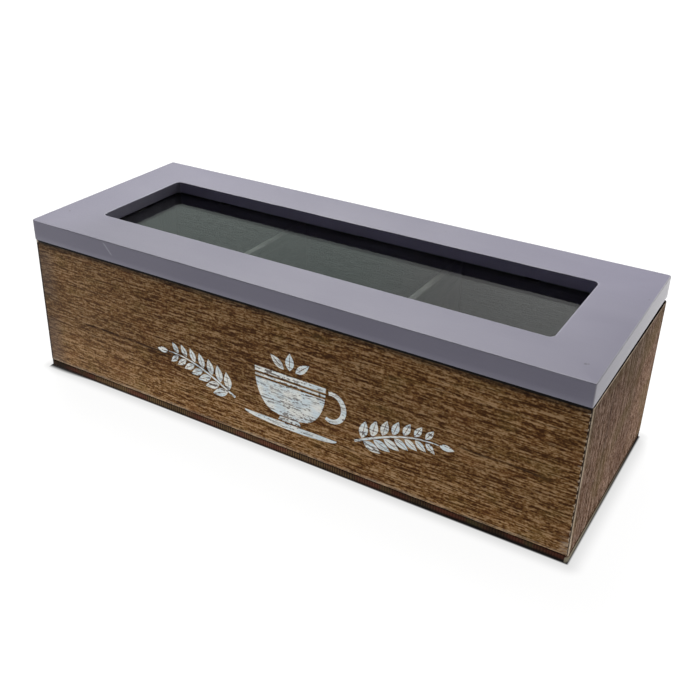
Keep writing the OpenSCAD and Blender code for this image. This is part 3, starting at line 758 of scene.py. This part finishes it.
def bottom_panel():
    rng = random.Random(31)
    xs, x = [], -118.6
    ticks = []
    while x < 118.6:
        xs.append((x, 0))
        xs.append((x + 0.42, 1))
        x += rng.uniform(0.92, 1.22)
    r = 1.3
    ends = []
    for i in range(6):
        a = math.radians(90 * i / 5)
        ends.append((r - r * math.sin(a), r - r * math.cos(a)))
    head = [(-L2 + d, u) for d, u in reversed(ends)]
    tail = [(L2 - d, u) for d, u in ends]
    stations = [(t, u, 0) for t, u in head] + [(x, 0.0, k) for x, k in xs if abs(x) < 118.6] + [(t, u, 0) for t, u in tail]
    lo, hi = 0.18, 0.30
    prof = []           # (y from the edge, z)
    for a in (0, 30, 60, 90):
        prof.append((lo - lo * math.sin(math.radians(a)), lo - lo * math.cos(math.radians(a))))
    prof.append((0.0, 1.1))
    prof.append((0.0, 1.9))
    for a in (0, 45, 90):
        prof.append((hi - hi * math.cos(math.radians(a)), 3.0 - hi + hi * math.sin(math.radians(a))))
    inner = 2.6
    prof = [(inner, 0.0)] + prof + [(inner, 3.0)]
    ring = prof + [(89.0 - p[0], p[1]) for p in reversed(prof)]
    verts, tick, raw = [], [], []
    K = len(ring)
    for i, (x, u, k) in enumerate(stations):
        end = L2 - abs(x)
        pull = rng.uniform(0.02, 0.12) if k else 0.0
        for j, (e, z) in enumerate(ring):
            d = min(e, 89.0 - e)
            near = d < 1.0
            y = -W2 + e
            if near:
                dy = u + pull
                y += dy if e < 44 else -dy
            elif u:
                y += u * 0.3 if e < 44 else -u * 0.3
            # keep the plate's ends rounded from below and above
            xx = x
            if end < 0.02 and (z < 0.02 or z > 2.98):
                xx = x - math.copysign(0.16, x)
            verts.append((xx, y, z))
            tick.append(float(k) if near else 0.0)
            raw.append((0.75 if z > 1.0 else 0.4) if (end < 1.25 and x > 0 and e < 1.0 and z < 2.6) else 0.0)
    faces = []
    n = len(stations)
    for i in range(n - 1):
        for j in range(K):
            a, b = i * K + j, i * K + (j + 1) % K
            faces.append((a, b, b + K, a + K))
    # end caps, as bands between the front half and the back half of the ring
    for base, flip in ((0, False), ((n - 1) * K, True)):
        half = K // 2
        for j in range(half - 1):
            f = (base + j, base + j + 1, base + K - 2 - j, base + K - 1 - j)
            faces.append(tuple(reversed(f)) if flip else f)
    o = make("bottom_panel_board", verts, faces, M_BOTTOM, "box", replaces=("bottom_panel",),
             attrs={"tick": tick, "raw": raw, "dirt_and_shade": [0.0] * len(verts)}, sharp=40.0)
    # holes for the brads
    cut = bmesh.new()
    spots = [(s_k * 240 / 3.45, s * 41.0) for s in (-1, 1) for s_k in (-1.5, -0.43, 0.43, 1.5)]
    spots += [(s * 116.5, t * 89 / 4.5) for s in (-1, 1) for t in (-1, 1)]
    for x, y in spots:
        bmesh.ops.create_cone(cut, cap_ends=True, segments=28, radius1=0.00118, radius2=0.00112, depth=0.0014,
                              matrix=Matrix.Translation((x / 1000, y / 1000, 0.00003)))
    cm = bpy.data.meshes.new("cut")
    cut.to_mesh(cm)
    cut.free()
    co = bpy.data.objects.new("cut", cm)
    scene.collection.objects.link(co)
    mod = o.modifiers.new("holes", "BOOLEAN")
    mod.object, mod.operation, mod.solver = co, "DIFFERENCE", "EXACT"
    bpy.context.view_layer.update()
    dg = bpy.context.evaluated_depsgraph_get()
    new = bpy.data.meshes.new_from_object(o.evaluated_get(dg), depsgraph=dg)
    o.modifiers.clear()
    old = o.data
    o.data = new
    new.name = "bottom_panel_board"
    bpy.data.meshes.remove(old)
    bpy.data.objects.remove(co)
    new.shade_smooth()
    new.set_sharp_from_angle(angle=math.radians(40))
    return o


bottom_panel()

# ---------------------------------------------------------------- lid
HINGE_Y, HINGE_Z = 47.0, 62.22
SLOPE = math.asin((62.84 - 61.6 - 0.03) / (47.0 + 44.5))
LID_Z = 62.84


def on_lid(v):
    x, y, z = v
    dy, dz = y - HINGE_Y, z - HINGE_Z
    return (x, HINGE_Y + dy * math.cos(SLOPE) - dz * math.sin(SLOPE), HINGE_Z + dy * math.sin(SLOPE) + dz * math.cos(SLOPE))


def loop(l, w, r, nl, nw, nc):
    """A rounded rectangle, always with the same number of points. r is one radius, or four: front right, back right, back left, front left."""
    pts = []
    hx, hy = l / 2, w / 2
    rs = list(r) if isinstance(r, (list, tuple)) else [r] * 4
    fr, br, bl, fl = rs
    corners = [(hx - fr, fr - hy, -90), (hx - br, hy - br, 0), (bl - hx, hy - bl, 90), (fl - hx, fl - hy, 180)]
    sides = [((fl - hx, -hy), (hx - fr, -hy), nl), ((hx, fr - hy), (hx, hy - br), nw),
             ((hx - br, hy), (bl - hx, hy), nl), ((-hx, hy - bl), (-hx, fl - hy), nw)]
    for (a, b, n), (cx, cy, a0), rr in zip(sides, corners, rs):
        for i in range(n):
            pts.append((a[0] + (b[0] - a[0]) * i / n, a[1] + (b[1] - a[1]) * i / n))
        for i in range(nc):
            t = math.radians(a0 + 90 * i / nc)
            pts.append((cx + rr * math.cos(t), cy + rr * math.sin(t)))
    return pts


def lid_frame():
    l, w, t = 239.5, 91.0, 8.7
    wl, ww, wr = 197.7, 49.4, 2.2
    pl, pw, pr = 205.7, 57.4, 3.0
    z0, z1 = LID_Z, LID_Z + t
    loops = []      # length, width, radius, height, edge: painted highlight and arris unevenness
    out_r = lambda i: [max(0.12, v - i) for v in (0.45, 1.2, 1.2, 1.7)]
    e = 0.25
    for a in (0, 45, 90):
        i = e - e * math.sin(math.radians(a))
        loops.append((l - 2 * i, w - 2 * i, out_r(i), z0 + e - e * math.cos(math.radians(a)), 0.55 if a < 90 else 0.25))
    for k in (0.3, 0.6):
        loops.append((l, w, out_r(0), z0 + e + (t - e - 0.4) * k, 0.0))
    e = 0.34
    loops.append((l, w, out_r(0), z1 - 0.55, 0.0))
    for a in (0, 22.5, 45, 67.5, 90):
        i = e - e * math.cos(math.radians(a))
        loops.append((l - 2 * i, w - 2 * i, out_r(i), z1 - e + e * math.sin(math.radians(a)), 1.0 if a > 30 else 0.3))
    loops.append((l - 1.3, w - 1.3, out_r(0.65), z1, 0.0))
    loops.append((wl + 1.5, ww + 1.5, wr + 0.75, z1, 0.0))
    e = 0.32
    for a in (90, 67.5, 45, 22.5, 0):
        i = e - e * math.cos(math.radians(a))
        loops.append((wl + 2 * i, ww + 2 * i, wr + i, z1 - e + e * math.sin(math.radians(a)), 1.0 if a > 30 else 0.2))
    loops.append((wl, ww, wr, z1 - 3.0, 0.0))
    loops.append((wl, ww, wr, z0 + 3.9, 0.0))
    loops.append((wl + 0.3, ww + 0.3, wr + 0.15, z0 + 3.7, 0.0))
    loops.append((pl, pw, pr, z0 + 3.7, 0.0))
    loops.append((pl, pw, pr, z0 + 0.25, 0.0))
    loops.append((pl + 0.5, pw + 0.5, pr + 0.25, z0, 0.0))
    rings = [loop(a, b, r, 60, 22, 8) for a, b, r, z, ed in loops]
    n = len(rings[0])
    verts, edge = [], []
    for (a, b, r, z, ed), ring in zip(loops, rings):
        for i, (x, y) in enumerate(ring):
            wob = noise.noise(Vector((x * 0.06, y * 0.06, 2.0)))
            wob2 = noise.noise(Vector((x * 0.5, y * 0.5, 12.0)))
            zz, k = z, ed
            if z > z1 - 0.9 and ed > 0:      # the sanded arrises aren't quite even
                zz -= 0.05 * (wob + 0.4 * wob2 + 0.4) * ed
            # painted highlight: the upright corners are paler, much more at the left end
            if abs(abs(x) - l / 2) < 0.9 and abs(abs(y) - w / 2) < 0.9 and a > l - 1.0:
                k = max(k, 0.75 if x < 0 else 0.1)
            k *= 0.8 + 0.5 * wob + 0.35 * wob2
            verts.append(on_lid((x, y, zz)))
            edge.append(max(0.0, k))
    faces = []
    m = len(rings)
    for j in range(m):
        a0, b0 = j * n, ((j + 1) % m) * n
        for i in range(n):
            k = (i + 1) % n
            faces.append((a0 + i, a0 + k, b0 + k, b0 + i))
    return make("lid_frame_board", verts, faces, M_PAINT, "lid", replaces=("lid_frame",),
                attrs={"edge": edge}, sharp=28.0)


def glass():
    l, w, zb, zt = 203.9, 55.6, LID_Z + 1.25, LID_Z + 3.25
    e = 0.22
    loops = [(l - 2 * e, w - 2 * e, 0.5, zb), (l - 0.13, w - 0.13, 0.66, zb + 0.07), (l, w, 0.7, zb + e), (l, w, 0.7, zt - e),
             (l - 0.13, w - 0.13, 0.66, zt - 0.07), (l - 2 * e, w - 2 * e, 0.5, zt)]
    rings = [loop(a, b, r, 20, 6, 6) for a, b, r, z in loops]
    n, verts, faces = len(rings[0]), [], []
    for (a, b, r, z), ring in zip(loops, rings):
        verts += [on_lid((x, y, z)) for x, y in ring]
    for j in range(len(rings) - 1):
        for i in range(n):
            k = (i + 1) % n
            faces.append((j * n + i, j * n + k, (j + 1) * n + k, (j + 1) * n + i))
    faces.append(tuple(reversed(range(n))))
    faces.append(tuple((len(rings) - 1) * n + i for i in range(n)))
    return make("glass_pane_cut", verts, faces, M_GLASS, "lid", replaces=("glass_pane",), sharp=20.0)


lid_frame()
glass()

# ---------------------------------------------------------------- metal parts keep their shape and get brass or steel
for n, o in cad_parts.items():
    if o.hide_render:
        continue
    o.data.materials.clear()
    o.data.materials.append(M_BRASS if "hinge" in n else M_POINTS if n == "glazing_points" else M_STEEL)

# ---------------------------------------------------------------- front motif: a cup on a saucer between two sprigs


def print_material():
    g = Net("front_print")
    x, y, z = g.mm()
    w = wood_layers(g, (x, z, y))
    under = wood_colour(g, w, DARK, MID, LIGHT)
    tint = g.noise(g.vec(g.mul(x, 0.16), 8.0, g.mul(z, 0.22)), detail=1.0)
    cover = g.mix(g.ramp(tint, 0.35, 0.65), (0.70, 0.79, 0.83), (0.86, 0.87, 0.83))
    cover = g.tone(cover, g.ramp(w["figure"], 0.0, 0.7, 0.78, 1.04))
    thin = g.noise(g.vec(g.mul(x, 0.05), 2.0, g.mul(z, 0.12)), detail=3.0)
    worn = g.mul(g.ramp(w["figure"], 0.26, 0.10), g.ramp(thin, 0.35, 0.62, 0.30, 0.85))
    worn = g.hi(worn, g.mul(w["pore"], 0.5))
    h = g.sub(g.mul(w["figure"], 0.5), g.mul(w["pore"], 0.7))
    g.surface(Base_Color=g.mix(worn, cover, under), Roughness=0.62, Specular_IOR_Level=0.4,
              Normal=g.bump(h, 0.00008, 0.7))
    return g.mat


def lens(p, q, bulge, n=12, side=0, gap=0.0):
    """Leaf from p to q. side is 0 for the whole leaf, or 1 or -1 for half of it, beside the mid rib."""
    p, q = Vector(p), Vector(q)
    d = q - p
    nrm = Vector((-d.y, d.x)).normalized()
    up = [p + d * (i / n) + nrm * bulge * math.sin(math.pi * (i / n) ** 0.85) for i in range(n + 1)]
    dn = [p + d * (i / n) - nrm * bulge * math.sin(math.pi * (i / n) ** 0.85) for i in range(n + 1)]
    if side == 0:
        return up + dn[-2:0:-1]
    mid = [p + d * (i / n) + nrm * gap * side * math.sin(math.pi * i / n) for i in range(n + 1)]
    edge = up if side > 0 else dn
    return [mid[0]] + edge[1:-1] + [mid[-1]] + mid[-2:0:-1]


def ribbon(pts, widths):
    pts = [Vector(p) for p in pts]
    a, b = [], []
    for i, p in enumerate(pts):
        d = (pts[min(i + 1, len(pts) - 1)] - pts[max(i - 1, 0)]).normalized()
        nrm = Vector((-d.y, d.x))
        a.append(p + nrm * widths[i] / 2)
        b.append(p - nrm * widths[i] / 2)
    return a + b[::-1]


def motif():
    cx, cz = 9.0, 12.2
    shapes = []
    # saucer, foot, bowl with a band below its lip
    sau = [Vector((-21 + 42 * i / 24, 2.6)) for i in range(25)]
    sau += [Vector((21 * math.cos(math.pi * i / 24), 2.6 - 2.6 * math.sin(math.pi * i / 24) ** 0.8)) for i in range(1, 24)]
    shapes.append(sau)
    shapes.append([Vector(p) for p in ((-5.2, 3.3), (5.2, 3.3), (4.3, 5.0), (-4.3, 5.0))])

    def half_w(h):      # half the bowl's width, from its foot up to its lip
        return 4.8 + 11.0 * math.sqrt(max(0.0, 1 - (1 - h) ** 2.3))
    def bowl(h0, h1, n=16):
        hs = [h0 + (h1 - h0) * i / n for i in range(n + 1)]
        return [Vector((half_w(h), 5.4 + 18.5 * h)) for h in hs] + [Vector((-half_w(h), 5.4 + 18.5 * h)) for h in reversed(hs)]
    shapes.append(bowl(0.0, 0.74))
    shapes.append(bowl(0.79, 0.84, 3))
    shapes.append(bowl(0.89, 1.0, 4))
    # handle
    hp = []
    for i in range(21):
        a = math.radians(118 - 262 * i / 20)
        hp.append((18.4 + 5.2 * math.cos(a), 16.6 + 5.9 * math.sin(a)))
    shapes.append(ribbon(hp[1:-2], [1.5 + 0.7 * math.sin(math.pi * i / 17) for i in range(18)]))
    # three small leaves over the cup
    for p, q, b in (((0.0, 26.2), (0.0, 33.6), 1.9), ((-2.6, 26.0), (-8.6, 31.0), 1.6), ((2.6, 26.0), (8.6, 31.0), 1.6)):
        shapes.append(lens(p, q, b, side=1, gap=0.16))
        shapes.append(lens(p, q, b, side=-1, gap=0.16))
    # sprigs
    for s in (-1, 1):
        stem = []
        x0 = 25.5 if s < 0 else 28.5
        for i in range(25):
            k = i / 24
            stem.append((s * (x0 + 33 * k), 6.0 + 9.5 * math.sin(1.75 * k) + 1.2 * k))
        shapes.append(ribbon(stem, [0.95 - 0.5 * i / 24 for i in range(25)]))
        for j, i in enumerate(range(2, 23, 3)):
            p = Vector(stem[i])
            k = i / 24
            size = 8.2 * (1 - 0.45 * k)
            d = (Vector(stem[i + 1]) - p).normalized()
            for turn in (52, -48):
                a = math.radians(turn * (1 if s > 0 else -1))
                dd = Vector((d.x * math.cos(a) - d.y * math.sin(a), d.x * math.sin(a) + d.y * math.cos(a)))
                st = p + dd * 0.9
                for sd in (1, -1):
                    shapes.append(lens(st, st + dd * size, size * 0.23, side=sd, gap=0.14))
        p = Vector(stem[-1])
        d = (p - Vector(stem[-2])).normalized()
        shapes.append(lens(p + d * 0.3, p + d * 6.0, 1.25))
    verts, faces = [], []
    y0, y1 = -W2 - 0.035, -W2 + 0.10
    for sh in shapes:
        n, base = len(sh), len(verts)
        for yy in (y0, y1):
            verts += [(cx + v.x, yy, cz + v.y) for v in sh]
        faces.append(tuple(base + i for i in range(n)))
        faces.append(tuple(base + n + i for i in reversed(range(n))))
        for i in range(n):
            k = (i + 1) % n
            faces.append((base + k, base + i, base + n + i, base + n + k))
    me = make("front_motif", verts, faces, print_material(), "box", sharp=20.0)
    return me


motif()

bpy.context.view_layer.update()
